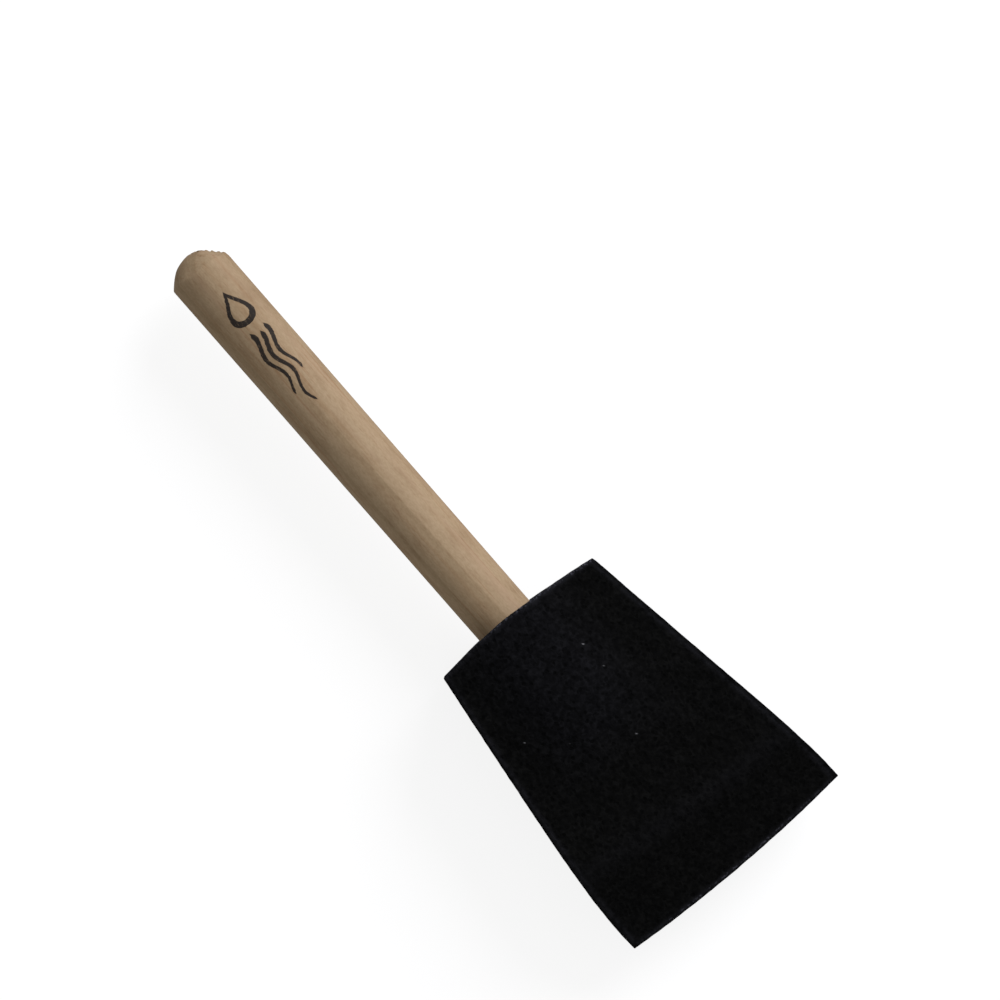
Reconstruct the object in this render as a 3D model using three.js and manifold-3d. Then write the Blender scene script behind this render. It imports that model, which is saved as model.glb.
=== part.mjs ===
// A foam brush for paint and stain: a black foam head with a chisel tip, on a wooden dowel handle.
//
// Five pieces: the dowel, a moulded insert (a socket with a flat blade), the foam head cut to take
// it, the hot-melt glue that bonds blade to foam, and the glue that bonds dowel to socket.
//
// Millimetres. The brush lies on one broad face. +X runs from the handle's butt to the working
// edge, +Y across the head, +Z through its thickness. The origin is under the middle of the
// brush's box, on the surface it lies on. Inside the brush group, x = 0 is the line through the
// two near corners of the head, and y = z = 0 is the dowel's axis.

import * as THREE from "three";
import { mergeVertices } from "three/addons/utils/BufferGeometryUtils.js";
import Module from "manifold-3d";

const { lerp } = THREE.MathUtils;
const wasm = await Module();
wasm.setup();

// Driving dimensions -----------------------------------------------------------------------------

const GAP = 0.3; // between any two pieces that touch
const GLUE = 0.3; // thickness of a glue film

const dowel = {
  buttDiameter: 12.5,
  headDiameter: 12.2, // it tapers slightly towards the head
  outside: 93.3, // from the top of the domed butt to the near corners of the head
  inside: 24, // depth inside the head
  domeHeight: 3.7,
  chamfer: 0.8, // on the end in the socket
};

const head = {
  length: 62.3, // between the near corners and the tip corners
  nearWidth: 36.3,
  flare: 17.6, // how much wider the tip would be if both sides ran straight
  easing: 3.1, // how much of that the sides give back as they turn parallel at the tip
  easingPower: 7,
  thickness: 22,
  tipThickness: 1.0,
  bevelStart: 0.767, // share of the length where both faces start to slope to the tip
  bevelSkew: 0.033,
  nearBow: 1.5, // the near edge is arched outwards, most at the dowel
  nearBowPower: 1.5,
  nearSkew: 0.75, // and one of its corners sits further along than the other
  tipBow: 1.05,
  tipSkew: 0.3,
  offset: 2.3, // the dowel enters beside the middle of the head
  drift: 0.7, // and the tip's middle lies this much further over
  driftPower: 3,
};

const socket = {
  mouth: 2.2, // its rim lies this far inside the near corners
  boreRadius: dowel.headDiameter / 2 + 2 * GAP + GLUE,
  wall: 1.0,
  floor: 1.4,
  glueStart: 1.0, // from the rim to the edge of the glue
};

const blade = {
  width: 27,
  start: 3.2,
  end: 34,
  thickness: 1.6,
  cornerRadius: 4,
  holeRadius: 1.5,
  holeRows: [8, 14.5, 21, 29.5],
  holeSpacing: 21.2,
  bareEdge: 1.2, // the glue stops short of the blade's edges
};

// Facets
const ROUND = 64;
const DOME_STEPS = 8;
const HOLE_ROUND = 20;
const CORNER_STEPS = 5;
const BODY_STEPS = 18;
const BEVEL_STEPS = 6;
const ACROSS_STEPS = 16;

// Derived sizes
const socketFloor = dowel.inside + 2 * GAP + GLUE;
const socketEnd = socketFloor + socket.floor;
const socketRadius = socket.boreRadius + socket.wall;
const slotHalfThickness = blade.thickness / 2 + 2 * GAP + GLUE;

// Geometry helpers -------------------------------------------------------------------------------

// A closed three.js geometry as a manifold-3d solid.
function solid(geometry) {
  const bare = geometry.clone();
  bare.deleteAttribute("normal");
  bare.deleteAttribute("uv");
  const merged = mergeVertices(bare);
  return new wasm.Manifold(
    new wasm.Mesh({
      numProp: 3,
      vertProperties: merged.getAttribute("position").array,
      triVerts: new Uint32Array(merged.index.array),
    }),
  );
}

function geometryOf(manifold) {
  const mesh = manifold.getMesh();
  const geometry = new THREE.BufferGeometry();
  geometry.setAttribute("position", new THREE.BufferAttribute(mesh.vertProperties, 3));
  geometry.setIndex(new THREE.BufferAttribute(mesh.triVerts, 1));
  geometry.computeVertexNormals();
  return geometry;
}

// A turned shape about the x axis, from a profile of [x, radius] pairs. Its outside runs along +x.
function turned(profile, segments = ROUND) {
  const points = profile.map(([x, radius]) => new THREE.Vector2(radius, x));
  return new THREE.LatheGeometry(points, segments).rotateZ(-Math.PI / 2);
}

// A round bar along x.
const bar = (from, to, radius) =>
  turned([[from, 0], [from, radius], [to, radius], [to, 0]]);

// A round bar through the blade's thickness, centred on the blade's plane.
const plug = (x, y, radius, thickness) =>
  new THREE.CylinderGeometry(radius, radius, thickness, HOLE_ROUND)
    .rotateX(Math.PI / 2)
    .translate(x, y, 0);

// A plate in the blade's plane with round far corners, grown by margin on its sides and end.
function plate(thickness, margin, start = blade.start) {
  const side = blade.width / 2 + margin;
  const end = blade.end + margin;
  const radius = blade.cornerRadius + margin;
  const outline = new THREE.Shape();
  outline.moveTo(start, -side);
  outline.lineTo(end - radius, -side);
  outline.absarc(end - radius, -side + radius, radius, -Math.PI / 2, 0);
  outline.lineTo(end, side - radius);
  outline.absarc(end - radius, side - radius, radius, 0, Math.PI / 2);
  outline.lineTo(start, side);
  outline.closePath();
  const extrusion = new THREE.ExtrudeGeometry(outline, {
    depth: thickness,
    bevelEnabled: false,
    curveSegments: CORNER_STEPS,
  });
  return solid(extrusion.translate(0, 0, -thickness / 2));
}

const holeCentres = blade.holeRows.flatMap((x) =>
  [-1, 1].map((side) => [x, (side * blade.holeSpacing) / 2]),
);

// Sub-parts --------------------------------------------------------------------------------------

// The dowel: a butt with a parabolic dome, a slight taper, and a chamfered end in the socket.
function dowelGeometry() {
  const buttRadius = dowel.buttDiameter / 2;
  const headRadius = dowel.headDiameter / 2;
  const profile = [];
  for (let i = 0; i <= DOME_STEPS; i++) {
    const share = i / DOME_STEPS;
    profile.push([-dowel.outside + dowel.domeHeight * share ** 2, buttRadius * share]);
  }
  profile.push(
    [0, headRadius],
    [dowel.inside - dowel.chamfer, headRadius],
    [dowel.inside, headRadius - dowel.chamfer],
    [dowel.inside, 0],
  );
  return turned(profile);
}

// The insert: a cup for the dowel, joined to a blade with holes that the glue grips.
function insertGeometry() {
  const cup = turned([
    [socketFloor, 0],
    [socketFloor, socket.boreRadius],
    [socket.mouth, socket.boreRadius],
    [socket.mouth, socketRadius],
    [socketEnd - socket.wall, socketRadius],
    [socketEnd, socketRadius - socket.wall],
    [socketEnd, 0],
  ]);
  const bore = solid(bar(socket.mouth, socketFloor, socket.boreRadius));
  let flat = plate(blade.thickness, 0).subtract(bore);
  for (const [x, y] of holeCentres) {
    flat = flat.subtract(solid(plug(x, y, blade.holeRadius, 2 * blade.thickness)));
  }
  return geometryOf(solid(cup).add(flat));
}

// The glue between blade and foam: a film on each face, joined by the plugs that fill the holes.
function headGlueGeometry() {
  const outer = 2 * (slotHalfThickness - GAP);
  const inner = blade.thickness + 2 * GAP;
  let films = plate(outer, -blade.bareEdge, blade.start + blade.bareEdge)
    .subtract(plate(inner, GAP))
    .subtract(solid(bar(0, socketEnd + GAP, socketRadius + GAP)));
  for (const [x, y] of holeCentres) {
    films = films.add(solid(plug(x, y, blade.holeRadius - GAP, outer)));
  }
  return geometryOf(films);
}

// The glue round the dowel's end: a thin cup that lines the socket.
function dowelGlueGeometry() {
  const inner = dowel.headDiameter / 2 + GAP;
  const outer = inner + GLUE;
  const start = socket.mouth + socket.glueStart;
  return turned([
    [start, inner],
    [start, outer],
    [dowel.inside + GAP + GLUE, outer],
    [dowel.inside + GAP + GLUE, 0],
    [dowel.inside + GAP, 0],
    [dowel.inside + GAP, inner],
    [start, inner],
  ]);
}

const headCentre = (t) => head.offset + head.drift * t ** head.driftPower;

const headHalfWidth = (t) =>
  (head.nearWidth + head.flare * t - head.easing * t ** head.easingPower) / 2;

// The arch of the near edge, 0 at its corners and 1 at the dowel.
function nearArch(v) {
  const peak = (-2 * head.offset) / head.nearWidth;
  const span = v > peak ? 1 - peak : 1 + peak;
  return 1 - (Math.abs(v - peak) / span) ** head.nearBowPower;
}

// A point of the foam block. f runs from the near edge (0) to the tip (1), v across it and
// w through it, both from -1 to 1.
function headPoint(f, v, w) {
  const bodyShare = BODY_STEPS / (BODY_STEPS + BEVEL_STEPS);
  const body = Math.min(f / bodyShare, 1);
  const bevel = Math.max((f - bodyShare) / (1 - bodyShare), 0);
  const bevelStart = head.bevelStart + head.bevelSkew * v;
  const t = body * bevelStart + bevel * (1 - bevelStart);
  const nearEdge = head.nearSkew * v - head.nearBow * nearArch(v);
  const tipEdge = head.length + head.tipSkew * v + head.tipBow * (1 - v * v);
  return [
    lerp(nearEdge, tipEdge, t),
    headCentre(t) + v * headHalfWidth(t),
    (w * lerp(head.thickness, head.tipThickness, bevel)) / 2,
  ];
}

// The foam head: one block with a chisel tip, slit to take the insert and bored for the dowel.
function foamGeometry() {
  const block = new THREE.BoxGeometry(2, 2, 2, BODY_STEPS + BEVEL_STEPS, ACROSS_STEPS, 1);
  const points = block.getAttribute("position");
  for (let i = 0; i < points.count; i++) {
    const f = (points.getX(i) + 1) / 2;
    points.setXYZ(i, ...headPoint(f, points.getY(i), points.getZ(i)));
  }
  const outside = -2 * head.nearBow;
  const dowelHole = bar(outside, socket.mouth, dowel.headDiameter / 2 + GAP);
  const cupHole = bar(socket.mouth - GAP, socketEnd + GAP, socketRadius + GAP);
  const foam = solid(block)
    .subtract(solid(dowelHole))
    .subtract(solid(cupHole))
    .subtract(plate(GAP, GAP, outside))
    .subtract(plate(2 * slotHalfThickness, GAP, blade.start - GAP));
  return geometryOf(foam);
}

// Materials --------------------------------------------------------------------------------------

const finish = (color, roughness) =>
  new THREE.MeshStandardMaterial({ color, roughness, metalness: 0 });

const beech = finish("#ae9577", 0.62);
const blackFoam = finish("#111113", 0.95);
const naturalPlastic = finish("#d9d6cc", 0.45);
const hotMelt = finish("#d8c48c", 0.35);

// Assembly ---------------------------------------------------------------------------------------

const brush = new THREE.Group();
brush.position.set(
  (dowel.outside - head.length - head.tipBow) / 2,
  -(head.offset + head.drift),
  head.thickness / 2,
);

function addPart(name, geometry, material) {
  const mesh = new THREE.Mesh(geometry, material);
  mesh.name = name;
  brush.add(mesh);
}

addPart("handle", dowelGeometry(), beech);
addPart("insert", insertGeometry(), naturalPlastic);
addPart("foam_head", foamGeometry(), blackFoam);
addPart("head_adhesive", headGlueGeometry(), hotMelt);
addPart("handle_adhesive", dowelGlueGeometry(), hotMelt);

const part = new THREE.Group();
part.add(brush);

export default part;
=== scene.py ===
"""The looks of the foam brush: its foam head, its wooden handle, and what joins them.

The CAD frame says where the pieces lie, and the outlines below repeat the CAD's. In the row frame
+X runs from the handle's butt to the working edge, +Y across the head and +Z through its
thickness, and the brush lies on z = 0. The shapes are worked out in millimetres from the near
corners of the head and the dowel's axis, and go into the row frame in metres.
"""

import math

import bpy
import numpy as np
from mathutils import Matrix, Vector, noise


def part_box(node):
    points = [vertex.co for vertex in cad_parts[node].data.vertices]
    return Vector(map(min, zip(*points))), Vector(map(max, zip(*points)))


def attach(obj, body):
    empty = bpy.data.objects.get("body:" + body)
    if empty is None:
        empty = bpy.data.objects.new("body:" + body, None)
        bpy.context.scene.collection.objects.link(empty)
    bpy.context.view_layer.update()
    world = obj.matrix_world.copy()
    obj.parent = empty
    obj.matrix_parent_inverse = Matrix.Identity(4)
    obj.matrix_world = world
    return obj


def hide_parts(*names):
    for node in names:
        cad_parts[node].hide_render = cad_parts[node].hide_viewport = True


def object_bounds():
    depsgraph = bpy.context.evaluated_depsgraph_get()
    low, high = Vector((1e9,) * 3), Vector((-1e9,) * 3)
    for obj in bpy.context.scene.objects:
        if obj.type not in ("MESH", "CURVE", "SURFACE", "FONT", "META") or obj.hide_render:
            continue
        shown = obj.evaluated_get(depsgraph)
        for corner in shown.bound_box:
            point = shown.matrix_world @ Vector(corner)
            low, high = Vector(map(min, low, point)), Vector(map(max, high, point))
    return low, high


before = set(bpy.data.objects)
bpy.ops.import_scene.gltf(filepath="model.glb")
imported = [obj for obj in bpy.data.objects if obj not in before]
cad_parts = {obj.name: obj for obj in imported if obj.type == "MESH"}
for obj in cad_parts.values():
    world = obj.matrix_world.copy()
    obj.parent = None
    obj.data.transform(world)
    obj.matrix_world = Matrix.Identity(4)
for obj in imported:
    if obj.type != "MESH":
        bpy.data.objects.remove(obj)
cad_low, cad_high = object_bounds()

MM = 0.001

# The head, in millimetres. x runs from the line through its near corners, y from the dowel's axis.
LENGTH = 62.3
NEAR_WIDTH = 36.3
FLARE = 17.6  # how much wider the tip would be if both sides ran straight
EASING = 3.1  # how much of that the sides give back as they turn parallel at the tip
EASING_POWER = 7
OFFSET = 2.3  # the dowel enters beside the middle of the head
DRIFT = 0.7  # and the tip's middle lies this much further over
DRIFT_POWER = 3
NEAR_BOW = 1.5  # the near edge is arched outwards, most at the dowel
NEAR_BOW_POWER = 1.5
NEAR_SKEW = 0.75  # and one of its corners sits further along than the other
TIP_BOW = 1.05
TIP_SKEW = 0.3
RIDGE = 0.767  # where the bevel starts, as a share of the length
RIDGE_SKEW = 0.033
RIDGE_SOFTNESS = 0.3
BLOCK_HALF = 8.2  # half the thickness of the block away from the insert
TIP_HALF = 0.55
BEVEL_HOLLOW = 0.35  # the bevels are cut slightly hollow
SIDE_HOLLOW = 0.2
CORNER_RADIUS = 0.22  # the block is cut with a blade, so its edges are sharp
NEAR_RADIUS = 0.25
TIP_RADIUS = 0.2

# How the insert lifts the two broad faces
SOCKET_RISE = 2.25
SOCKET_FLAT = 2.5
SOCKET_SPREAD = 17.0
SOCKET_FALL = 1.5
SOCKET_FADE = (20.0, 34.0)
BLADE_RISE = 0.45
BLADE_SPREAD = (10.5, 17.0)
BLADE_FADE = (31.0, 35.5)

# The slit in the near face, and the pocket behind it
LIP_GAP = 0.1
LIP_OPENING = 1.1  # it gapes beside the dowel
LIP_FALL = 0.8
LIP_RADIUS = 0.3
LIP_CROWDING = 0.7  # its points crowd towards the dowel
TUCK_DEPTH = 0.9  # the foam is drawn in round the dowel
TUCK_REACH = 2.4
CLEARANCE = 0.12  # between foam and dowel
POCKET_GAP = 0.3  # between foam and insert
BLADE_HALF_SLOT = 1.7
SOCKET_END = 26.3

# The surface of the foam: depth and spacing of what stands out or sinks in
WAVE = (0.07, 16.0)
DIMPLE = (0.05, 4.5)
CELL = (0.08, 1.3)
CELL_MIDDLE = 0.45
PORE = (0.02, 0.6)
TORN = (0.05, 1.6)
WAVE_SHIFT = Vector((5, 1, 2))  # the shifts set layers of the same noise apart
TORN_SHIFT = Vector((9, 3, 7))
EDGE_BAND = 0.55  # how wide the roughed-up strip along a cut edge is
EDGE_CALM = 0.6  # how much straighter an edge is than the faces are flat

# Where the foam is paler: fuzz, and painted highlight where its edges and ridge catch the light
EDGE_FUZZ_AND_HIGHLIGHT_BAND = (0.55, 0.4)  # how far from an edge of a broad face, and over what width
EDGE_FUZZ_AND_HIGHLIGHT = 0.55
MID_TIP_FUZZ_AND_HIGHLIGHT = 0.35  # on top of that in the middle of the tip
MID_TIP_REACH = 3
NEAR_FUZZ_AND_HIGHLIGHT_BAND = 0.75  # width of the pale fuzz and painted highlight along the near edge
LIT_SIDE_START = (-12, 8)  # it is thicker on the +Y side of the dowel, which the lamp lights: painted light
SHADED_SIDE_SHARE = 0.6
PALE_ON_NEAR_FACE = 0.5
PALE_ON_SIDES = 0.5
# the pale band on the bevel's ridge is painted highlight, where the convex ridge catches the light
RIDGE_BAND = 2.4
RIDGE_HIGHLIGHT = 0.17
BROAD_FACE = 0.8  # a point this share of the half thickness up lies on a broad face

# Pale specks of dust on the upper face: shares of the way along and across it, and brightness
SPECKS = (
    (0.19, 0.30, 1.0),
    (0.28, 0.31, 0.6),
    (0.30, -0.70, 0.8),
    (0.50, 0.11, 0.8),
    (0.39, -0.38, 0.4),
)
SPECK_FACE = 0.9  # they lie above this share of the half thickness
OTHER_SPECKS = 16  # on the lower half
OTHER_BRIGHTNESS = (0.3, 1)
SPECK_SEED = 7

# The handle
HEAD_RADIUS = 6.1  # where it enters the head
DOME_HEIGHT = 3.7
RIM_RADIUS = 0.25
RIM_CUTS = ((-0.6, -0.45), (0.15, -0.1))  # its broken edge, along and outwards, in rim radii
END_CHAMFER = 0.8  # on the end in the socket
WORN_TOP = 0.22  # how far the dome's top is worn down
WORN_TOP_SIDE = (-0.6, -0.2)  # from where to where across it, in radii
WORN_RIM = 0.85  # and its rim, on the +Y side
WORN_RIM_SIDE = (0.35, 0.95)
WORN_REACH = 3.0
GRAIN = (0.02, (30, 0.9, 0.9))  # depth, and spacing along, across and through the handle
SWAY = (0.04, (25, 6, 6))
FRAY = (1.0, (1.2, 0.38, 3))
FRAY_END = (0.8, 1.2)  # the frayed end grain stops here, in heights of the dome
FRAY_SIDE = (-0.1, 0.2)  # and starts here, in radii
FRAY_HALF_WIDTH = (0.05, 0.35)

# The wood's growth rings, placed so that one ring's dark late wood paints shade on the -Y side
PITH = (-34, -20)  # the middle of the trunk, from the dowel's axis
RING_WIDTH = 4.5
SHADE_RING_SIDE = 0.84  # one ring's edge runs along the top, this far to the side at the head, so its late wood paints shade over the -Y side
RING_SLANT = 0.0147  # and aslant to the dowel
RING_WARP = 0.6
LATE_WOOD = (0.55, 0.96)  # a ring darkens from here to here, and ends sharply

# The print on it, in millimetres from the butt and round the dowel
PRINT_START = 9.5
PRINT_TURN = 0.12  # radians towards +Y
DROP_MIDDLE = 4.2
DROP_HALF_LENGTH = 4.2
DROP_HALF_WIDTH = 2.9
DROP_FULLNESS = 0.75
HOLLOW_SHIFT = 0.15  # the drop is an outline: its hollow's place, length and width
HOLLOW_LENGTH = 0.68
HOLLOW_WIDTH = 0.62
STROKE_WAVE = 9.0
STROKE_SWING = 0.6
STROKE_HALF_WIDTH = 0.62
STROKE_HEAD = 1.5
STROKE_TAIL = 1
STROKE_THINNING = 0.55
STROKES = ((-1.7, 9.4, 24.5), (0.0, 10.2, 28.0), (1.7, 9.4, 21.5))  # side, start and end of each
INK_EDGE = 0.08
INK_BLEED = 0.3
BLEED_SIZE = 0.7

# Mesh density
SIDE_STEPS = 48
FACE_STEPS = 130
ARC_STEPS = 6
BODY_STEPS = 140
BEVEL_STEPS = 50
EDGE_STEPS = 4
NEAR_RINGS = 26
LIP_STEPS = 50
HANDLE_ROUND = 160
HANDLE_STEP = 0.4
DOME_STEPS = 30

# Sizes of the foam's patterns, in millimetres
CELL_SIZE = 1.05
WOBBLE = (1.2, 0.5)  # what makes the cells uneven: its spacing and its amount
STRUT_SIZE = 0.9
PORE_SIZE = 1.1
CLOSED_PORES = 0.45  # the share of the pores that are closed
PORE_SINK = 0.8  # how deep a pore is, beside a cell's wall
BLOTCH_SIZE = 1.5
CLOUD_SIZE = 7
HAIR_SIZE = 0.55

# Sizes of the plastic's and the glue's patterns, in millimetres
PLASTIC_CLOUD_SIZE = 6
PLASTIC_GRAIN_SIZE = 0.4
GLUE_WAVE_SIZE = 2.5

# Sizes of the wood's patterns: how many to a metre, along the handle and across it
WARP_GRAIN = (10, 60)
ROSY_GRAIN = (12, 260)
BROAD_GRAIN = (18, 120)
STREAK_GRAIN = (22, 800)
LINE_GRAIN = (40, 1500)
FIGURE_GRAIN = (150, 420)
FLECK_GRAIN = (420, 2200)
INK_GRAIN = (900, 2400)
FIBRE_GRAIN = (1300, 3000)
STREAK_LIFT = 0.7
FLECK_SINK = 0.3
NO_FLECK = 0.66  # the share of the places for a fleck that stay empty

# How strongly the wood's patterns show
ROSY_SHARE = 0.5
LATE_WOOD_AND_SHADE_SHARE = 0.45
STREAK_SHARE = 0.36
LINE_SHARE = 0.45
FLECK_SHARE = 0.25

# Colours, as linear red, green, blue and alpha. A tint multiplies the colour below it.
FOAM_PIT_SHADE = (0.0006, 0.0006, 0.0006, 1)
FOAM_STRUT = (0.0063, 0.0063, 0.0062, 1)
FOAM_CLOUD_TINTS = ((0.62, 0.62, 0.62, 1), (1.32, 1.32, 1.32, 1))
FOAM_PAINTED_LIGHT_TINT = (1.42, 1.42, 1.72, 1)
FOAM_SHEEN = (0.8, 0.85, 1.0, 1)
FUZZ_AND_HIGHLIGHT_COLOR = (0.0165, 0.0165, 0.0203, 1)
HAIR_COLOR = (0.062, 0.062, 0.078, 1)
DUST_COLOR = (0.19, 0.19, 0.20, 1)
WOOD_COLORS = ((0.433, 0.314, 0.193, 1), (0.455, 0.331, 0.205, 1))
ROSY_COLOR = (0.455, 0.310, 0.200, 1)
FIGURE_TINT = (0.88, 0.85, 0.83, 1)
FIBRE_TINT = (0.90, 0.885, 0.86, 1)
LATE_WOOD_AND_SHADE_TINT = (0.72, 0.70, 0.64, 1)
STREAK_TINT = (0.80, 0.68, 0.57, 1)
LINE_TINT = (0.80, 0.64, 0.55, 1)
FLECK_TINT = (0.62, 0.47, 0.36, 1)
PAINTED_LIGHT_RAMP = (0.95, 1.07)  # painted light: the colour is made brighter towards the head, where the lamp falls weaker
INK_COLOR = (0.020, 0.017, 0.016, 1)
PLASTIC_COLORS = ((0.60, 0.58, 0.51, 1), (0.72, 0.70, 0.64, 1))
GLUE_COLORS = ((0.55, 0.40, 0.17, 1), (0.72, 0.58, 0.30, 1))
FLOOR_COLOR = (0.30, 0.30, 0.30, 1)
WHITE = (1, 1, 1, 1)

# The studio
VIEW_RIGHT = Vector((0.6579, 0.7531, 0))  # the brush lies aslant in the picture
VIEW_WIDTH = 190.0 * MM
VIEW_DISTANCE = 2.4
VIEW_CENTRE = Vector((-4.1, 11.44)) * MM
SENSOR = 36.0
CLIP = (0.01, 10)
KEY_DIRECTION = Vector((-0.2, 0.85, 0.49))
KEY_DISTANCE = 1.1
KEY_SIZE = 0.8
KEY_POWER = 10.2
KEY_COLOR = (0.985, 0.985, 1.045)
WORLD_STRENGTH = 0.33
FLOOR_HALF = 3.0
FLOOR_GLOW = 0.84


# Places from the frame ---------------------------------------------------------------------------

def node_box(name):
    """Lowest and highest corner of a CAD node, in millimetres."""
    low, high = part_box(name)
    return np.array(low) / MM, np.array(high) / MM


head_low, head_high = node_box("foam_head")
handle_low, handle_high = node_box("handle")
insert_low, insert_high = node_box("insert")

ORIGIN = np.array([
    head_high[0] - TIP_BOW - LENGTH,
    (handle_low[1] + handle_high[1]) / 2,
    (handle_low[2] + handle_high[2]) / 2,
])
BUTT_X = handle_low[0] - ORIGIN[0]
INNER_END_X = handle_high[0] - ORIGIN[0]
BUTT_RADIUS = (handle_high[2] - handle_low[2]) / 2
SOCKET_RADIUS = (insert_high[2] - insert_low[2]) / 2
SOCKET_START = insert_low[0] - ORIGIN[0]
BLADE_HALF_WIDTH = (insert_high[1] - insert_low[1]) / 2
BLADE_END = insert_high[0] - ORIGIN[0]


def to_row(points):
    """Millimetres from the head's own origin to metres in the row frame."""
    return (np.asarray(points) + ORIGIN) * MM


# Small maths -------------------------------------------------------------------------------------

def smoothstep(x, low, high):
    t = np.clip((x - low) / (high - low), 0, 1)
    return t * t * (3 - 2 * t)


def bell(distance, width):
    """1 at no distance, falling off over a width."""
    return np.exp(-(distance / width) ** 2)


def soft_min(a, b, softness):
    """The smaller of two lengths, with the corner where they cross rounded off."""
    return (a + b - np.sqrt((a - b) ** 2 + softness ** 2)) / 2


# Meshes ------------------------------------------------------------------------------------------

def make_object(name, points, faces):
    """A smooth-shaded piece from millimetre points and faces, riding on the CAD's one body."""
    mesh = bpy.data.meshes.new(name)
    mesh.from_pydata(to_row(points).tolist(), [], faces)
    mesh.update()
    mesh.polygons.foreach_set("use_smooth", [True] * len(mesh.polygons))
    piece = bpy.data.objects.new(name, mesh)
    bpy.context.scene.collection.objects.link(piece)
    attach(piece, "root")
    return piece


def ring_faces(first, second, count):
    """Quads between two closed rings of vertices that start at the given indexes.

    The rings turn from -Y over the top to +Y, and the second is the one further along +X.
    """
    return [
        (first + j, second + j, second + (j + 1) % count, first + (j + 1) % count)
        for j in range(count)
    ]


def vertex_array(mesh, what):
    """The vertices' places ("co") or normals ("vector"), one row each."""
    values = np.empty(3 * len(mesh.vertices), dtype=np.float32)
    source = mesh.vertices if what == "co" else mesh.vertex_normals
    source.foreach_get(what, values)
    return values.reshape(-1, 3).astype(float)


def push_out(piece, amount):
    """Moves each vertex along its normal by an amount in millimetres."""
    mesh = piece.data
    moved = vertex_array(mesh, "co") + vertex_array(mesh, "vector") * amount[:, None] * MM
    mesh.vertices.foreach_set("co", moved.astype(np.float32).ravel())
    mesh.update()


def store(piece, name, values):
    """Keeps one number for each vertex, for the material to read."""
    attribute = piece.data.attributes.new(name, "FLOAT", "POINT")
    attribute.data.foreach_set("value", np.asarray(values, dtype=np.float32))


# The foam head -----------------------------------------------------------------------------------

def head_centre(t):
    """The middle of the head, at a share of the way along it from 0 to 1."""
    return OFFSET + DRIFT * t ** DRIFT_POWER


def head_half_width(t):
    return (NEAR_WIDTH + FLARE * t - EASING * t ** EASING_POWER) / 2


def near_edge(v):
    """How far along the near edge lies, at a share of the way across from -1 to 1."""
    peak = -2 * OFFSET / NEAR_WIDTH
    span = np.where(v > peak, 1 - peak, 1 + peak)
    arch = 1 - (np.abs(v - peak) / span) ** NEAR_BOW_POWER
    return NEAR_SKEW * v - NEAR_BOW * arch


def tip_edge(v):
    return LENGTH + TIP_SKEW * v + TIP_BOW * (1 - v * v)


def insert_rise(x, y):
    """How far the insert lifts a broad face at a place on it."""
    across = np.abs(y)
    socket = (1 - smoothstep(across, SOCKET_FLAT, SOCKET_SPREAD)) ** SOCKET_FALL
    socket = socket * (1 - smoothstep(x, *SOCKET_FADE))
    blade = (1 - smoothstep(across, *BLADE_SPREAD)) * (1 - smoothstep(x, *BLADE_FADE))
    return SOCKET_RISE * socket + BLADE_RISE * blade


def half_thickness(t, v, x, y):
    """Half the block's thickness or the bevel's, whichever is less."""
    ridge = RIDGE + RIDGE_SKEW * v
    up_bevel = np.clip((1 - t) / (1 - ridge), 0, 2)  # 0 at the tip and 1 on the ridge
    hollow = 4 * np.clip(up_bevel, 0, 1) * np.clip(1 - up_bevel, 0, 1)
    bevel = TIP_HALF + (BLOCK_HALF - TIP_HALF) * up_bevel - BEVEL_HOLLOW * hollow
    return soft_min(BLOCK_HALF + insert_rise(x, y), bevel, RIDGE_SOFTNESS)


def head_section():
    """One turn round the head, from the middle of the -Y side over the top.

    Four numbers for each point: its share of the way across and through the section, and the
    direction of its corner's arc. Also how many of the points lie on the upper half.
    """
    quarter_turn = np.linspace(0, math.pi / 2, ARC_STEPS + 1)[1:-1]
    side = np.linspace(0, 1, SIDE_STEPS // 2 + 1)
    face = np.linspace(-1, 1, FACE_STEPS + 1)
    half = [(-1, w, -1, 0) for w in side]
    half += [(-1, 1, -math.cos(a), math.sin(a)) for a in quarter_turn]
    half += [(v, 1, 0, 1) for v in face]
    half += [(1, 1, math.sin(a), math.cos(a)) for a in quarter_turn]
    half += [(1, w, 1, 0) for w in side[::-1]]
    lower = [(v, -w, a, -b) for v, w, a, b in half[-2:0:-1]]
    return np.array(half + lower), len(half)


def head_ring(section, body, bevel, inset=0.0, shift=0.0):
    """Points round the head. body and bevel say how far along those stretches the ring lies."""
    across, through, arc_y, arc_z = section.T
    ridge = RIDGE + RIDGE_SKEW * across
    t = body * ridge + bevel * (1 - ridge)
    x = near_edge(across) + (tip_edge(across) - near_edge(across)) * t + shift
    y = head_centre(t) + across * head_half_width(t)
    half = half_thickness(t, across, x, y) - inset
    radius = np.minimum(CORNER_RADIUS, half / 2)
    y = y - across * (inset + radius) + radius * arc_y
    hollow = SIDE_HOLLOW * (1 - through ** 2) * np.clip(half / BLOCK_HALF, 0, 1)
    y = y - np.where(np.abs(arc_y) == 1, np.sign(across) * hollow, 0)
    z = through * (half - radius) + radius * arc_z
    return np.stack([x, y, z], axis=1)


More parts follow.
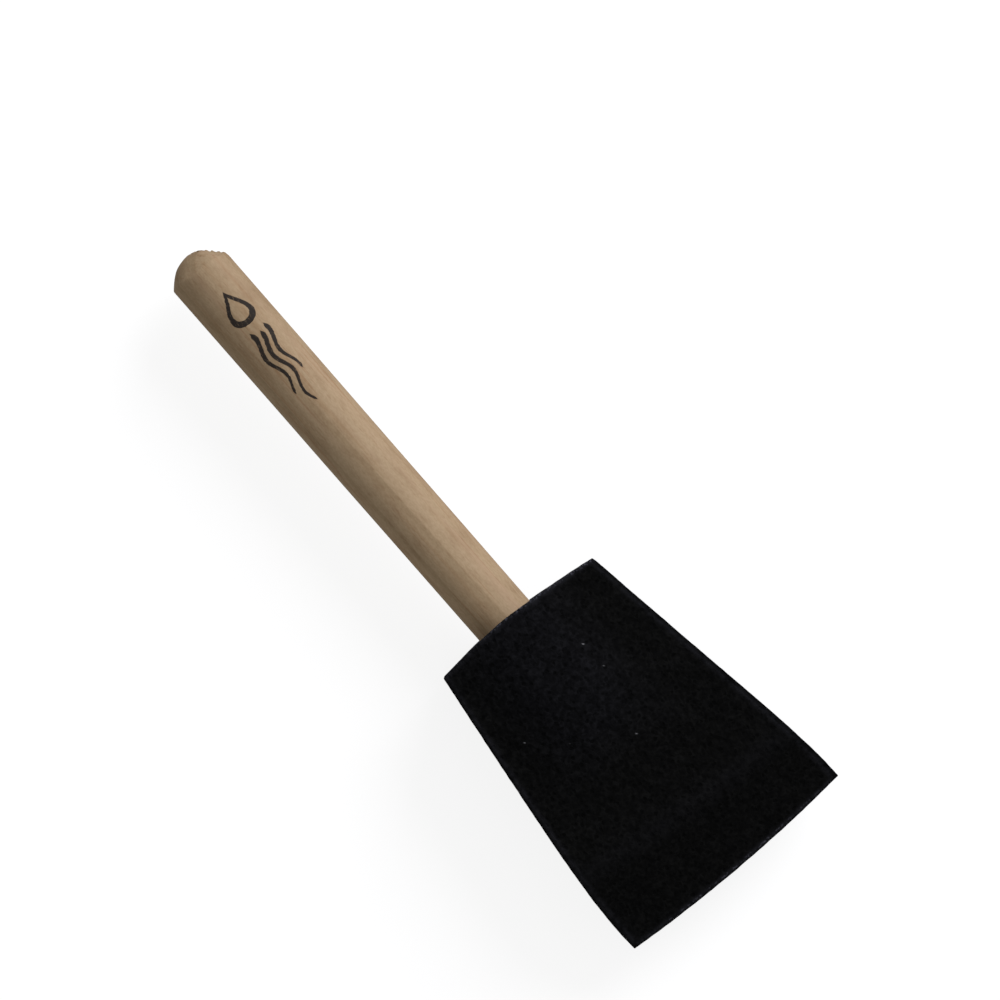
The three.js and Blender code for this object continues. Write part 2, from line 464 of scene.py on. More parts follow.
def outer_rings(section):
    """The rings of the outside, from the near face's rounded edge to the tip's."""
    turn = np.linspace(0, math.pi / 2, EDGE_STEPS + 1)
    rings = [
        head_ring(section, 0, 0, NEAR_RADIUS * (1 - math.sin(a)), NEAR_RADIUS * (1 - math.cos(a)))
        for a in turn
    ]
    start = NEAR_RADIUS / (LENGTH * RIDGE)
    rings += [head_ring(section, body, 0) for body in np.linspace(start, 1, BODY_STEPS + 1)[1:]]
    end = 1 - TIP_RADIUS / (LENGTH * (1 - RIDGE))
    rings += [head_ring(section, 1, bevel) for bevel in np.linspace(0, end, BEVEL_STEPS + 1)[1:]]
    rings += [
        head_ring(section, 1, end, TIP_RADIUS * (1 - math.cos(a)), TIP_RADIUS * math.sin(a))
        for a in turn[1:]
    ]
    return rings


def hole_outline(half_count, radius, lip, end):
    """The outline of a round hole with a slit to both sides, in the order of the section.

    lip gives the slit's half height at a distance from the axis.
    """
    meeting = math.asin(min(lip(radius) / radius, 1))
    arc = np.linspace(math.pi - meeting, meeting, half_count - 2 * LIP_STEPS)
    arc_y = radius * np.cos(arc)
    arc_z = radius * np.sin(arc)
    inwards = np.linspace(0, 1, LIP_STEPS + 1)[:-1] ** LIP_CROWDING
    side = end + (arc_y[-1] - end) * inwards
    side_z = lip(side)
    side_z[0] = 0
    y = np.concatenate([-side, arc_y, side[::-1]])
    z = np.concatenate([side_z, arc_z, side_z[::-1]])
    upper = np.stack([y, z], axis=1)
    lower = upper[-2:0:-1] * [1, -1]
    return np.concatenate([upper, lower])


def mouth_lip(y):
    """Half the height of the slit in the near face."""
    return LIP_GAP + LIP_OPENING * np.exp(-(y - HEAD_RADIUS) / LIP_FALL)


def pocket_lip(y):
    """Half the height of the pocket inside."""
    return np.full_like(np.asarray(y, dtype=float), BLADE_HALF_SLOT)


def near_face_rings(outer, hole):
    """Rings from the rounded edge of the near face in to the lips of the slit."""
    rings = []
    for share in np.linspace(0, 1, NEAR_RINGS + 1)[1:]:
        flat = outer[:, 1:] * (1 - share) + hole * share
        v = (flat[:, 0] - head_centre(0)) / head_half_width(0)
        to_lip = np.linalg.norm(flat - hole, axis=1)
        tuck = TUCK_DEPTH * bell(to_lip, TUCK_REACH)
        tuck = tuck * (1 - smoothstep(np.abs(flat[:, 0]), HEAD_RADIUS, BLADE_HALF_WIDTH))
        rings.append(np.column_stack([near_edge(v) + tuck, flat]))
    return rings


def pocket_rings(mouth_x, hole, half_count):
    """Rings of the pocket inside the head, from the lips to the far end of the blade."""
    end = BLADE_HALF_WIDTH + POCKET_GAP
    wide = hole_outline(half_count, SOCKET_RADIUS + POCKET_GAP, pocket_lip, end)
    slot = np.column_stack([wide[:, 0], np.clip(wide[:, 1], -BLADE_HALF_SLOT, BLADE_HALF_SLOT)])
    start = SOCKET_START - POCKET_GAP
    stations = (
        (mouth_x + LIP_RADIUS, hole),
        (start - POCKET_GAP, hole),
        (start, wide),
        (SOCKET_END, wide),
        (SOCKET_END + POCKET_GAP, slot),
        (BLADE_END + POCKET_GAP, slot),
    )
    return [np.column_stack([np.full(len(hole), x), outline]) for x, outline in stations]


def cap_faces(start, half_count, count, flip):
    """Faces that close a flat ring by joining its upper half to its lower."""
    faces = []
    for j in range(half_count - 1):
        a, b = start + j, start + j + 1
        c, d = start + (count - j - 1) % count, start + (count - j) % count
        face = (a, b, c, d)
        if j == 0:
            face = (a, b, c)
        elif j == half_count - 2:
            face = (a, b, d)
        faces.append(face[::-1] if flip else face)
    return faces


def edge_distances(section, rings, near, hole):
    """How far each point of the outer skin lies from its nearest edge, and from the near edge."""
    across, through, arc_y, _ = section.T
    on_face = (np.abs(through) == 1) & (arc_y == 0)
    to_long_edge = np.where(
        on_face,
        (1 - np.abs(across)) * NEAR_WIDTH / 2,
        (1 - np.abs(through)) * BLOCK_HALF,
    )
    nearest = []
    to_near_edge = []
    for ring in near:
        flat = ring[:, 1:]
        to_rim = np.linalg.norm(flat - rings[0][:, 1:], axis=1)
        to_slit = np.linalg.norm(flat - hole, axis=1)
        nearest.append(np.minimum(to_rim, to_slit))
        to_near_edge.append(to_rim)
    for ring in rings:
        to_near = ring[:, 0] - rings[0][:, 0]
        to_tip = rings[-1][:, 0] - ring[:, 0]
        nearest.append(np.minimum(to_long_edge, np.minimum(to_near, to_tip)))
        to_near_edge.append(to_near)
    return np.concatenate(nearest), np.concatenate(to_near_edge)


def ridge_distances(section, rings):
    """How far along the head each point of the outer rings lies from the bevel's ridge."""
    across = section[:, 0]
    length = tip_edge(across) - near_edge(across)
    ridge = near_edge(across) + length * (RIDGE + RIDGE_SKEW * across)
    return np.concatenate([np.abs(ring[:, 0] - ridge) for ring in rings])


def skin_fuzz_and_highlight(section, points, to_edge, to_near_edge, rings):
    """How pale the skin is, as fuzz and as painted highlight where edges catch the light: beside
    its edges, on the ridges and along the near edge.
    """
    x, y, z = points.T
    near_count = len(points) - len(rings) * len(section)
    across = np.concatenate([np.zeros(near_count), np.tile(np.abs(section[:, 0]), len(rings))])
    off_broad_face = np.abs(z) < BLOCK_HALF * BROAD_FACE

    mid_tip = smoothstep(x, LENGTH - MID_TIP_REACH, LENGTH) * (1 - across ** 2)
    beside_edge = bell(to_edge - EDGE_FUZZ_AND_HIGHLIGHT_BAND[0], EDGE_FUZZ_AND_HIGHLIGHT_BAND[1]) * (EDGE_FUZZ_AND_HIGHLIGHT + MID_TIP_FUZZ_AND_HIGHLIGHT * mid_tip)
    beside_edge[(np.abs(z) <= TIP_HALF) | (across == 1)] = 0

    to_ridge = np.full(len(points), LENGTH)
    to_ridge[near_count:] = ridge_distances(section, rings)
    to_ridge[off_broad_face] = LENGTH
    # Painted highlight along the bevel's ridge
    on_ridge = RIDGE_HIGHLIGHT * bell(to_ridge, RIDGE_BAND)

    # Pale fuzz and painted highlight along the near edge, stronger on the lit +Y side
    thickness = SHADED_SIDE_SHARE + (1 - SHADED_SIDE_SHARE) * smoothstep(y, *LIT_SIDE_START)
    fuzz_and_highlight = bell(to_near_edge, NEAR_FUZZ_AND_HIGHLIGHT_BAND) * thickness
    fuzz_and_highlight[:near_count] *= PALE_ON_NEAR_FACE
    fuzz_and_highlight[off_broad_face] *= PALE_ON_SIDES
    return np.maximum(np.maximum(beside_edge, on_ridge), fuzz_and_highlight)


def foam_relief(points, edge):
    """How far each point of the foam stands out, in millimetres: waves, cells and torn edges."""
    relief = np.zeros(len(points))
    for i, point in enumerate(points):
        p = Vector(point)
        wave = noise.noise(p / WAVE[1] + WAVE_SHIFT)
        dimple = noise.noise(p / DIMPLE[1])
        cell = noise.voronoi(p / CELL[1])[0][0] - CELL_MIDDLE
        pore = noise.noise(p / PORE[1])
        torn = noise.noise(p / TORN[1] + TORN_SHIFT) * edge[i]
        skin = WAVE[0] * wave + DIMPLE[0] * dimple + CELL[0] * cell + PORE[0] * pore
        relief[i] = skin * (1 - EDGE_CALM * edge[i]) + TORN[0] * torn
    return relief


def dust_on(points, draw):
    """Marks single points of the skin as specks of dust: the chosen ones, then some below."""
    dust = np.zeros(len(points))
    for along, across, brightness in SPECKS:
        x = LENGTH * along
        y = head_centre(along) + across * head_half_width(along)
        flat_distance = np.hypot(points[:, 0] - x, points[:, 1] - y)
        flat_distance[points[:, 2] < BLOCK_HALF * SPECK_FACE] = LENGTH
        dust[np.argmin(flat_distance)] = brightness
    lower_half = np.flatnonzero(points[:, 2] < 0)
    for i in draw.choice(lower_half, OTHER_SPECKS, replace=False):
        dust[i] = draw.uniform(*OTHER_BRIGHTNESS)
    return dust


def make_foam_head():
    section, half_count = head_section()
    count = len(section)
    outer = outer_rings(section)
    end = BLADE_HALF_WIDTH + POCKET_GAP
    hole = hole_outline(half_count, HEAD_RADIUS + CLEARANCE, mouth_lip, end)
    grown = hole + np.sign(hole) * [0, LIP_RADIUS]
    near = near_face_rings(outer[0], grown)[::-1]
    pocket = pocket_rings(near[0][:, 0], hole, half_count)[::-1]
    rings = pocket + near + outer
    points = np.concatenate(rings)
    faces = []
    for k in range(len(rings) - 1):
        faces += ring_faces(k * count, (k + 1) * count, count)
    faces += cap_faces(0, half_count, count, False)
    faces += cap_faces((len(rings) - 1) * count, half_count, count, True)
    piece = make_object("foam_brush_head", points, faces)

    skin = len(pocket) * count
    skin_points = points[skin:]
    to_edge, to_near_edge = edge_distances(section, outer, near, grown)
    relief = np.zeros(len(points))
    relief[skin:] = foam_relief(skin_points, bell(to_edge, EDGE_BAND))
    push_out(piece, relief)

    # worn holds the pale fuzz and painted highlight along the edges, the ridge and the near edge
    worn = skin_fuzz_and_highlight(section, skin_points, to_edge, to_near_edge, outer)
    # How far the insert lifts the face, as a share; the material paints light on the crown from it
    insert_lift = insert_rise(skin_points[:, 0], skin_points[:, 1]) / (SOCKET_RISE + BLADE_RISE)
    dust = dust_on(skin_points, np.random.default_rng(SPECK_SEED))
    for name, values in (("worn", worn), ("insert_lift", insert_lift), ("dust", dust)):
        store(piece, name, np.concatenate([np.zeros(skin), values]))
    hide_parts("foam_head")
    return piece


# The handle --------------------------------------------------------------------------------------

def handle_profile():
    """(x, radius) from the top of the dome to the end in the socket."""
    shares = np.linspace(0, 1, DOME_STEPS + 1)[1:-1]
    profile = [(BUTT_X + DOME_HEIGHT * share ** 2, BUTT_RADIUS * share) for share in shares]
    rim_x = BUTT_X + DOME_HEIGHT
    profile += [
        (rim_x + along * RIM_RADIUS, BUTT_RADIUS + outwards * RIM_RADIUS)
        for along, outwards in RIM_CUTS
    ]
    for x in np.arange(rim_x + 2 * RIM_RADIUS, INNER_END_X - 2 * END_CHAMFER, HANDLE_STEP):
        share = min((x - rim_x) / -rim_x, 1)
        profile.append((x, BUTT_RADIUS + (HEAD_RADIUS - BUTT_RADIUS) * share))
    profile.append((INNER_END_X - END_CHAMFER, HEAD_RADIUS))
    profile.append((INNER_END_X, HEAD_RADIUS - END_CHAMFER))
    return profile


def wear_dome(points):
    """The dome sits a little lower on its +Y side, where it was sanded more."""
    side = points[:, 1] / BUTT_RADIUS
    wear = WORN_TOP * smoothstep(side, *WORN_TOP_SIDE)
    wear = wear + (WORN_RIM - WORN_TOP) * smoothstep(side, *WORN_RIM_SIDE)
    past_rim = np.maximum(points[:, 0] - BUTT_X - DOME_HEIGHT, 0)
    worn = points.copy()
    worn[:, 0] += wear * bell(past_rim, WORN_REACH)
    return worn


def wood_noise(point, spacing):
    return noise.noise(Vector([place / step for place, step in zip(point, spacing)]))


def handle_relief(point):
    """Grain, the dowel's slight unevenness and the frayed end grain of the dome's worn side."""
    x, y, z = point
    if x > 0:
        return 0
    even = GRAIN[0] * wood_noise(point, GRAIN[1]) + SWAY[0] * wood_noise(point, SWAY[1])
    on_dome = 1 - smoothstep((x - BUTT_X) / DOME_HEIGHT, *FRAY_END)
    worn_side = smoothstep(y / BUTT_RADIUS, *FRAY_SIDE)
    at_mid_height = 1 - smoothstep(abs(z) / BUTT_RADIUS, *FRAY_HALF_WIDTH)
    fray = FRAY[0] * max(wood_noise(point, FRAY[1]), 0)
    return even - fray * on_dome * worn_side * at_mid_height


def make_handle():
    profile = handle_profile()
    angles = np.arange(HANDLE_ROUND) * 2 * math.pi / HANDLE_ROUND
    rings = [
        np.column_stack([np.full(HANDLE_ROUND, x), -r * np.cos(angles), r * np.sin(angles)])
        for x, r in profile
    ]
    points = np.concatenate(rings + [[(BUTT_X, 0, 0)], [(INNER_END_X, 0, 0)]])
    faces = []
    for k in range(len(rings) - 1):
        faces += ring_faces(k * HANDLE_ROUND, (k + 1) * HANDLE_ROUND, HANDLE_ROUND)
    butt, inner = len(points) - 2, len(points) - 1
    last = (len(rings) - 1) * HANDLE_ROUND
    for j in range(HANDLE_ROUND):
        after = (j + 1) % HANDLE_ROUND
        faces.append((butt, j, after))
        faces.append((inner, last + after, last + j))
    piece = make_object("dowel_handle", wear_dome(points), faces)
    push_out(piece, np.array([handle_relief(point) for point in points]))
    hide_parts("handle")
    return piece


# Material helpers --------------------------------------------------------------------------------

def per_metre(size):
    """How many patterns of a size in millimetres go to a metre, which is what textures ask for."""
    return 1 / (size * MM)


class Nodes:
    """A material's nodes, with short ways to make and join them."""

    def __init__(self, name):
        self.material = bpy.data.materials.new(name)
        self.material.use_nodes = True
        self.tree = self.material.node_tree
        self.shader = self.tree.nodes["Principled BSDF"]
        self.place = self.add("ShaderNodeTexCoord").outputs["Object"]

    def add(self, kind, **settings):
        node = self.tree.nodes.new(kind)
        for key, value in settings.items():
            setattr(node, key, value)
        return node

    def plug(self, value, socket):
        """Puts a number, a colour or another node's output into a socket."""
        if isinstance(value, bpy.types.NodeSocket):
            self.tree.links.new(value, socket)
        else:
            socket.default_value = value

    def maths(self, operation, a, b=0.0, c=0.0):
        node = self.add("ShaderNodeMath", operation=operation)
        for value, socket in zip((a, b, c), node.inputs):
            self.plug(value, socket)
        return node.outputs[0]

    def split(self, vector):
        node = self.add("ShaderNodeSeparateXYZ")
        self.plug(vector, node.inputs[0])
        return node.outputs

    def along_grain(self, grain, move=(0, 0, 0)):
        """The object's own coordinates, scaled by so much along the handle and across it."""
        along, across = grain
        node = self.add("ShaderNodeMapping")
        self.plug(self.place, node.inputs["Vector"])
        node.inputs["Scale"].default_value = (along, across, across)
        node.inputs["Location"].default_value = move
        return node.outputs[0]

    def wobbled(self, spacing, amount):
        """The object's own coordinates, pushed about at random by up to amount millimetres."""
        push = self.add("ShaderNodeTexNoise")
        self.plug(self.place, push.inputs["Vector"])
        push.inputs["Scale"].default_value = per_metre(spacing)
        centred = self.add("ShaderNodeVectorMath", operation="SUBTRACT")
        self.plug(push.outputs["Color"], centred.inputs[0])
        centred.inputs[1].default_value = (0.5, 0.5, 0.5)
        moved = self.add("ShaderNodeVectorMath", operation="MULTIPLY_ADD")
        self.plug(centred.outputs[0], moved.inputs[0])
        moved.inputs[1].default_value = (2 * amount * MM,) * 3
        self.plug(self.place, moved.inputs[2])
        return moved.outputs[0]

    def noise(self, vector, scale, detail=2.0, roughness=0.5):
        node = self.add("ShaderNodeTexNoise")
        self.plug(vector, node.inputs["Vector"])
        node.inputs["Scale"].default_value = scale
        node.inputs["Detail"].default_value = detail
        node.inputs["Roughness"].default_value = roughness
        return node.outputs["Fac"]

    def wood_noise(self, grain, move=(0, 0, 0), detail=2.0, roughness=0.5):
        return self.noise(self.along_grain(grain, move), 1.0, detail, roughness)

    def voronoi(self, vector, scale, feature="F1"):
        node = self.add("ShaderNodeTexVoronoi", feature=feature)
        self.plug(vector, node.inputs["Vector"])
        node.inputs["Scale"].default_value = scale
        return node.outputs

    def remap(self, value, between, gives=(0.0, 1.0), smooth=True):
        """Turns one range of values into another, and holds still beyond its ends."""
        node = self.add("ShaderNodeMapRange")
        node.interpolation_type = "SMOOTHSTEP" if smooth else "LINEAR"
        for socket, given in zip(node.inputs, (value, *between, *gives)):
            self.plug(given, socket)
        return node.outputs[0]

    def mix(self, share, first, second, blend="MIX"):
        node = self.add("ShaderNodeMix", data_type="RGBA", blend_type=blend)
        self.plug(share, node.inputs["Factor"])
        self.plug(first, node.inputs[6])
        self.plug(second, node.inputs[7])
        return node.outputs[2]

    def tinted(self, color, share, tint):
        return self.mix(share, color, tint, "MULTIPLY")

    def grey(self, value):
        """A number as a colour, which may be brighter than white."""
        node = self.add("ShaderNodeCombineXYZ")
        for socket in node.inputs:
            self.plug(value, socket)
        return node.outputs[0]

    def attribute(self, name):
        return self.add("ShaderNodeAttribute", attribute_name=name).outputs["Fac"]

    def bump(self, height, distance, strength, normal=None):
        """distance is in millimetres."""
        node = self.add("ShaderNodeBump")
        self.plug(height, node.inputs["Height"])
        node.inputs["Distance"].default_value = distance * MM
        node.inputs["Strength"].default_value = strength
        if normal is not None:
            self.plug(normal, node.inputs["Normal"])
        return node.outputs[0]

    def finish(self, color, roughness, normal=None, **fixed):
        for value, name in ((color, "Base Color"), (roughness, "Roughness"), (normal, "Normal")):
            if value is not None:
                self.plug(value, self.shader.inputs[name])
        for name, value in fixed.items():
            self.shader.inputs[name.replace("_", " ")].default_value = value
        return self.material


# Materials ---------------------------------------------------------------------------------------

def foam_material():
    """Black open-cell foam: pores and cell hollows darkened as painted shade, soft mottling, pale
    cut edges that are partly fuzz and partly painted highlight, painted light on the crown, and
    specks of dust.
    """
    n = Nodes("black_foam")
    uneven = n.wobbled(*WOBBLE)

    # Painted shade: the cell hollows and the open pores are coloured darker than the struts round
    # them
    cells = n.voronoi(uneven, per_metre(CELL_SIZE), "DISTANCE_TO_EDGE")["Distance"]
    strut_noise = n.noise(n.place, per_metre(STRUT_SIZE), detail=1.0)
    strut_light = n.remap(strut_noise, (0.3, 0.7), (0.5, 1.1))
    struts = n.maths("MULTIPLY", n.remap(cells, (0.02, 0.3), (1.0, 0.6)), strut_light)

    pores = n.voronoi(uneven, per_metre(PORE_SIZE))
    open_pore = n.maths("GREATER_THAN", n.split(pores["Color"])[0], CLOSED_PORES)
    pore = n.maths("MULTIPLY", n.remap(pores["Distance"], (0.2, 0.5), (1.0, 0.0)), open_pore)

    blotch = n.noise(n.place, per_metre(BLOTCH_SIZE), roughness=0.6)
    light = n.maths("MULTIPLY", struts, n.remap(blotch, (0.3, 0.7), (0.4, 1.0)))
    light = n.maths("MULTIPLY", light, n.remap(pore, (0.0, 1.0), (1.0, 0.35)))
    color = n.mix(light, FOAM_PIT_SHADE, FOAM_STRUT)

    # Over the insert the foam is less cloudy, and it is painted paler and bluer there: painted
    # light on the raised crown
    insert_lift = n.attribute("insert_lift")
    clouds = n.mix(n.noise(n.place, per_metre(CLOUD_SIZE)), *FOAM_CLOUD_TINTS)
    color = n.tinted(color, n.remap(insert_lift, (0.0, 0.8), (1.0, 0.35), smooth=False), clouds)
    color = n.tinted(color, n.remap(insert_lift, (0.0, 0.8), smooth=False), FOAM_PAINTED_LIGHT_TINT)

    # Pale fuzz and painted highlight along the edges, the ridge and the near edge, with pale hairs
    # where it is strongest
    worn = n.attribute("worn")
    fuzz_and_highlight = n.maths("MULTIPLY", worn, n.remap(blotch, (0.3, 0.6), (0.3, 0.95)))
    color = n.mix(fuzz_and_highlight, color, FUZZ_AND_HIGHLIGHT_COLOR)
    hair_noise = n.noise(n.place, per_metre(HAIR_SIZE), roughness=0.6)
    hairs = n.maths("MULTIPLY", n.remap(hair_noise, (0.48, 0.64)), n.remap(worn, (0.45, 0.95)))
    color = n.mix(hairs, color, HAIR_COLOR)
    color = n.mix(n.remap(n.attribute("dust"), (0.1, 1.0)), color, DUST_COLOR)

    height = n.maths("SUBTRACT", cells, n.maths("MULTIPLY", pore, PORE_SINK))
    cell_bump = n.bump(height, distance=0.14, strength=0.8)
    return n.finish(
        color,
        roughness=0.92,
        normal=n.bump(blotch, distance=0.15, strength=0.6, normal=cell_bump),
        Specular_IOR_Level=0.06,
        Sheen_Weight=0.006,
        Sheen_Roughness=0.5,
        Sheen_Tint=FOAM_SHEEN,
    )


def print_place(n):
    """Millimetres along the handle from where its print starts, and round it from its middle."""
    x, y, z = n.split(n.place)
    start = (ORIGIN[0] + BUTT_X + PRINT_START) * MM
    along = n.maths("DIVIDE", n.maths("SUBTRACT", x, start), MM)
    side = n.maths("SUBTRACT", y, ORIGIN[1] * MM)
    up = n.maths("SUBTRACT", z, ORIGIN[2] * MM)
    turn = n.maths("SUBTRACT", n.maths("ARCTAN2", side, up), PRINT_TURN)
    around = n.maths("MULTIPLY", turn, BUTT_RADIUS)
    feather = n.noise(n.place, per_metre(BLEED_SIZE))
    bleed = n.maths("MULTIPLY", n.maths("SUBTRACT", feather, 0.5), INK_BLEED)
    return n.maths("ADD", along, bleed), n.maths("ADD", around, bleed)


def inked(n, beyond):
    """1 inside an outline and 0 outside it, from how far beyond the outline a place lies."""
    return n.remap(beyond, (-INK_EDGE, INK_EDGE), (1.0, 0.0))


def drop_mask(n, along, around, middle, half_length, half_width):
    """A drop of paint with its point towards the butt."""
    u = n.maths("DIVIDE", n.maths("SUBTRACT", along, middle), half_length)
    round_part = n.maths("SQRT", n.maths("SUBTRACT", 1.0, n.maths("MULTIPLY", u, u)))
    point_part = n.maths("MULTIPLY", n.maths("ADD", u, 1.0), DROP_FULLNESS * half_width)
    reach = n.maths("SUBTRACT", n.maths("MULTIPLY", round_part, point_part), INK_EDGE)
    return inked(n, n.maths("SUBTRACT", n.maths("ABSOLUTE", around), reach))


def stroke_mask(n, along, around, side, start, end):
    """A wavy brush stroke along the handle that thins towards its end."""
    swing = n.maths("SINE", n.maths("MULTIPLY", along, 2 * math.pi / STROKE_WAVE))
    middle = n.maths("MULTIPLY_ADD", swing, STROKE_SWING, side)
    off = n.maths("ABSOLUTE", n.maths("SUBTRACT", around, middle))
    head = n.remap(along, (start, start + STROKE_HEAD), (0.0, STROKE_HALF_WIDTH))
    thinning = n.remap(along, (start, end), (1.0, STROKE_THINNING), smooth=False)
    tail = n.remap(along, (end - STROKE_TAIL, end), (1.0, 0.0))
    reach = n.maths("MULTIPLY", n.maths("MULTIPLY", head, thinning), tail)
    return inked(n, n.maths("SUBTRACT", off, n.maths("SUBTRACT", reach, INK_EDGE)))


def print_mask(n):
    """The handle's print: the outline of a drop of paint, then three wavy strokes."""
    along, around = print_place(n)
    drop = drop_mask(n, along, around, DROP_MIDDLE, DROP_HALF_LENGTH, DROP_HALF_WIDTH)
    hollow = drop_mask(
        n,
        along,
        around,
        DROP_MIDDLE + HOLLOW_SHIFT,
        DROP_HALF_LENGTH * HOLLOW_LENGTH,
        DROP_HALF_WIDTH * HOLLOW_WIDTH,
    )
    mask = n.maths("SUBTRACT", drop, hollow)
    for side, start, end in STROKES:
        mask = n.maths("MAXIMUM", mask, stroke_mask(n, along, around, side, start, end))
    return mask


def late_wood_and_painted_shade(n, along):
    """How much a place lies in the dark late wood of a growth ring, from 0 to 1. Along the top,
    its late wood covers the -Y side as painted shade.
    """
    _, y, z = n.split(n.place)
    from_axis_y = n.maths("MULTIPLY_ADD", y, 1 / MM, -ORIGIN[1] - PITH[0])
    from_pith_y = n.maths("SUBTRACT", from_axis_y, n.maths("MULTIPLY", along, RING_SLANT))
    from_pith_z = n.maths("MULTIPLY_ADD", z, 1 / MM, -ORIGIN[2] - PITH[1])
    squares = [n.maths("MULTIPLY", distance, distance) for distance in (from_pith_y, from_pith_z)]
    warp = n.maths("MULTIPLY_ADD", n.wood_noise(WARP_GRAIN), RING_WARP, -RING_WARP / 2)
    radius = n.maths("ADD", n.maths("SQRT", n.maths("ADD", *squares)), warp)
    boundary = math.hypot(SHADE_RING_SIDE - PITH[0], BUTT_RADIUS - PITH[1])
    rings = n.maths("DIVIDE", n.maths("SUBTRACT", radius, boundary), RING_WIDTH)
    share = n.maths("FRACT", rings)
    ending = n.remap(share, (LATE_WOOD[1], 1.0), (1.0, 0.0))
    return n.maths("MULTIPLY", n.remap(share, LATE_WOOD), ending)


def beech_material():
    """Bare sanded beech: broad growth rings, one laid so that its dark late wood paints shade on
    the -Y side, fine fibre, streaks and flecks, painted light that brightens it towards the head,
    and a dark print.
    """
    n = Nodes("beech")
    along = n.maths("MULTIPLY_ADD", n.split(n.place)[0], 1 / MM, -ORIGIN[0])

    broad = n.wood_noise(BROAD_GRAIN)
    figure = n.wood_noise(FIGURE_GRAIN, (5, 2, 4), roughness=0.6)
    fibre = n.wood_noise(FIBRE_GRAIN, (2, 6, 1), roughness=0.6)
    rosy = n.wood_noise(ROSY_GRAIN, (3, 1, 2))
    streak = n.wood_noise(STREAK_GRAIN, detail=3.0, roughness=0.55)
    line = n.wood_noise(LINE_GRAIN, (1, 7, 3), detail=1.0)
    fleck_cells = n.voronoi(n.along_grain(FLECK_GRAIN), 1.0)
    near_middle = n.remap(fleck_cells["Distance"], (0.10, 0.45), (1.0, 0.0))
    chosen = n.maths("GREATER_THAN", n.split(fleck_cells["Color"])[1], NO_FLECK)
    fleck = n.maths("MULTIPLY", near_middle, chosen)

    color = n.mix(n.remap(broad, (0.3, 0.7)), *WOOD_COLORS)
    color = n.tinted(color, n.remap(figure, (0.45, 0.7)), FIGURE_TINT)
    color = n.tinted(color, n.remap(fibre, (0.35, 0.65)), FIBRE_TINT)
    # Painted light: the colour brightens from the butt towards the head
    light_ramp = n.remap(along, (BUTT_X, 0.0), PAINTED_LIGHT_RAMP, smooth=False)
    color = n.tinted(color, 1.0, n.grey(light_ramp))
    color = n.mix(n.remap(rosy, (0.52, 0.72), (0.0, ROSY_SHARE)), color, ROSY_COLOR)
    # Dark late wood, laid so that it also paints shade on the handle's -Y side
    color = n.tinted(color, n.maths("MULTIPLY", late_wood_and_painted_shade(n, along), LATE_WOOD_AND_SHADE_SHARE), LATE_WOOD_AND_SHADE_TINT)
    color = n.tinted(color, n.remap(streak, (0.5, 0.72), (0.0, STREAK_SHARE)), STREAK_TINT)
    color = n.tinted(color, n.remap(line, (0.62, 0.70), (0.0, LINE_SHARE)), LINE_TINT)
    color = n.tinted(color, n.maths("MULTIPLY", fleck, FLECK_SHARE), FLECK_TINT)

    ink_noise = n.wood_noise(INK_GRAIN, detail=3.0, roughness=0.7)
    ink = n.maths("MULTIPLY", print_mask(n), n.remap(ink_noise, (0.3, 0.45), (0.7, 0.97)))
    color = n.mix(ink, color, INK_COLOR)

    fleck_sink = n.maths("MULTIPLY", fleck, -FLECK_SINK)
    height = n.maths("ADD", n.maths("MULTIPLY", streak, STREAK_LIFT), fleck_sink)
    return n.finish(
        color,
        roughness=n.remap(streak, (0.2, 0.8), (0.6, 0.75)),
        normal=n.bump(height, distance=0.04, strength=0.5),
        Specular_IOR_Level=0.12,
    )


def plastic_material():
    """Undyed moulded plastic, faintly uneven."""
    n = Nodes("natural_plastic")
    cloud = n.noise(n.place, per_metre(PLASTIC_CLOUD_SIZE))
    grain = n.noise(n.place, per_metre(PLASTIC_GRAIN_SIZE))
    return n.finish(
        n.mix(cloud, *PLASTIC_COLORS),
        roughness=n.remap(cloud, (0.3, 0.7), (0.38, 0.5)),
        normal=n.bump(grain, distance=0.02, strength=0.4),
        Subsurface_Weight=0.05,
        Subsurface_Scale=MM,
    )


def hot_melt_material():
    """Set hot-melt glue: amber, wavy and half clear."""
    n = Nodes("hot_melt")
    wave = n.noise(n.place, per_metre(GLUE_WAVE_SIZE))
    return n.finish(
        n.mix(wave, *GLUE_COLORS),
        roughness=n.remap(wave, (0.3, 0.7), (0.22, 0.35)),
        normal=n.bump(wave, distance=0.2, strength=0.5),
        Subsurface_Weight=0.1,
        Subsurface_Scale=MM,
    )


def dress(piece, material):
    """Gives an object one material, without touching a CAD object's mesh."""
    if not piece.material_slots:
        piece.data.materials.append(material)
    for slot in piece.material_slots:
        slot.link = "OBJECT"
        slot.material = material


# Studio ------------------------------------------------------------------------------------------

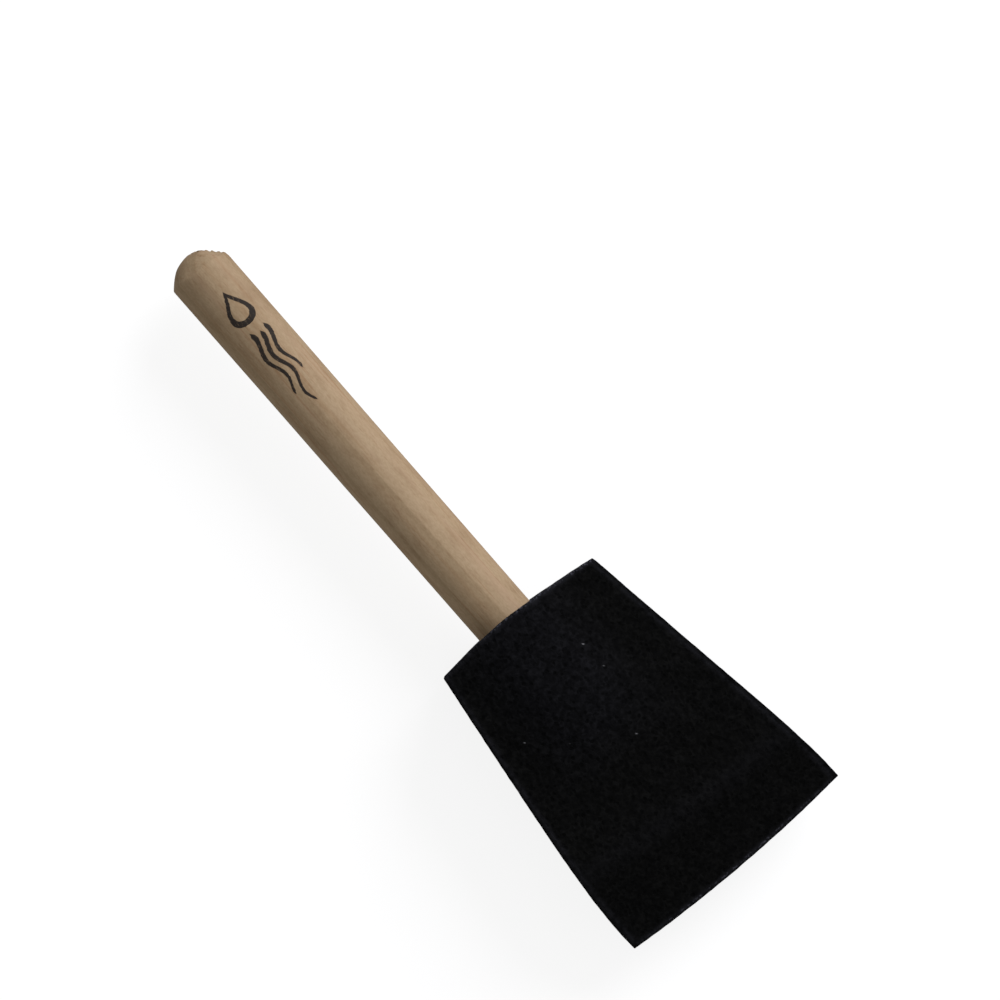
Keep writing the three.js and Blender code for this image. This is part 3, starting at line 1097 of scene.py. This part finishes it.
def make_camera():
    """Looks straight down on the brush, with the handle's butt at the upper left."""
    data = bpy.data.cameras.new("camera")
    data.sensor_width = SENSOR
    data.lens = SENSOR * VIEW_DISTANCE / VIEW_WIDTH
    data.clip_start, data.clip_end = CLIP
    camera = bpy.data.objects.new("camera", data)
    bpy.context.scene.collection.objects.link(camera)
    right = VIEW_RIGHT.normalized()
    back = Vector((0, 0, 1))
    up = back.cross(right)
    turn = Matrix((right, up, back)).transposed().to_4x4()
    axis_height = ORIGIN[2] * MM
    place = Vector((VIEW_CENTRE.x, VIEW_CENTRE.y, axis_height + VIEW_DISTANCE))
    camera.matrix_world = Matrix.Translation(place) @ turn
    bpy.context.scene.camera = camera


def make_floor():
    """A pale floor. It lights nothing, so that the brush keeps its dark side."""
    size = FLOOR_HALF
    corners = [(-size, -size, 0), (size, -size, 0), (size, size, 0), (-size, size, 0)]
    mesh = bpy.data.meshes.new("floor")
    mesh.from_pydata(corners, [], [(0, 1, 2, 3)])
    floor = bpy.data.objects.new("floor", mesh)
    bpy.context.scene.collection.objects.link(floor)
    floor.location.z = cad_low.z
    floor.visible_diffuse = False
    floor.visible_glossy = False
    material = Nodes("pale_floor").finish(
        FLOOR_COLOR,
        roughness=0.9,
        Specular_IOR_Level=0.0,
        Emission_Color=WHITE,
        Emission_Strength=FLOOR_GLOW,
    )
    mesh.materials.append(material)


def make_world():
    """Soft light from everywhere."""
    world = bpy.data.worlds.new("studio")
    world.use_nodes = True
    background = world.node_tree.nodes["Background"]
    background.inputs["Color"].default_value = WHITE
    background.inputs["Strength"].default_value = WORLD_STRENGTH
    bpy.context.scene.world = world
    bpy.context.scene.view_settings.view_transform = "Standard"


def make_key_light():
    """One large soft light from the +Y side."""
    data = bpy.data.lights.new("key", "AREA")
    data.shape = "DISK"
    data.size = KEY_SIZE
    data.energy = KEY_POWER
    data.color = KEY_COLOR
    light = bpy.data.objects.new("key", data)
    bpy.context.scene.collection.objects.link(light)
    away = KEY_DIRECTION.normalized()
    light.location = away * KEY_DISTANCE
    light.rotation_euler = away.to_track_quat("Z", "Y").to_euler()


# The scene ---------------------------------------------------------------------------------------

make_camera()
make_world()
make_key_light()
make_floor()

dress(make_foam_head(), foam_material())
dress(make_handle(), beech_material())
dress(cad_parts["insert"], plastic_material())
glue = hot_melt_material()
for name in ("head_adhesive", "handle_adhesive"):
    dress(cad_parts[name], glue)
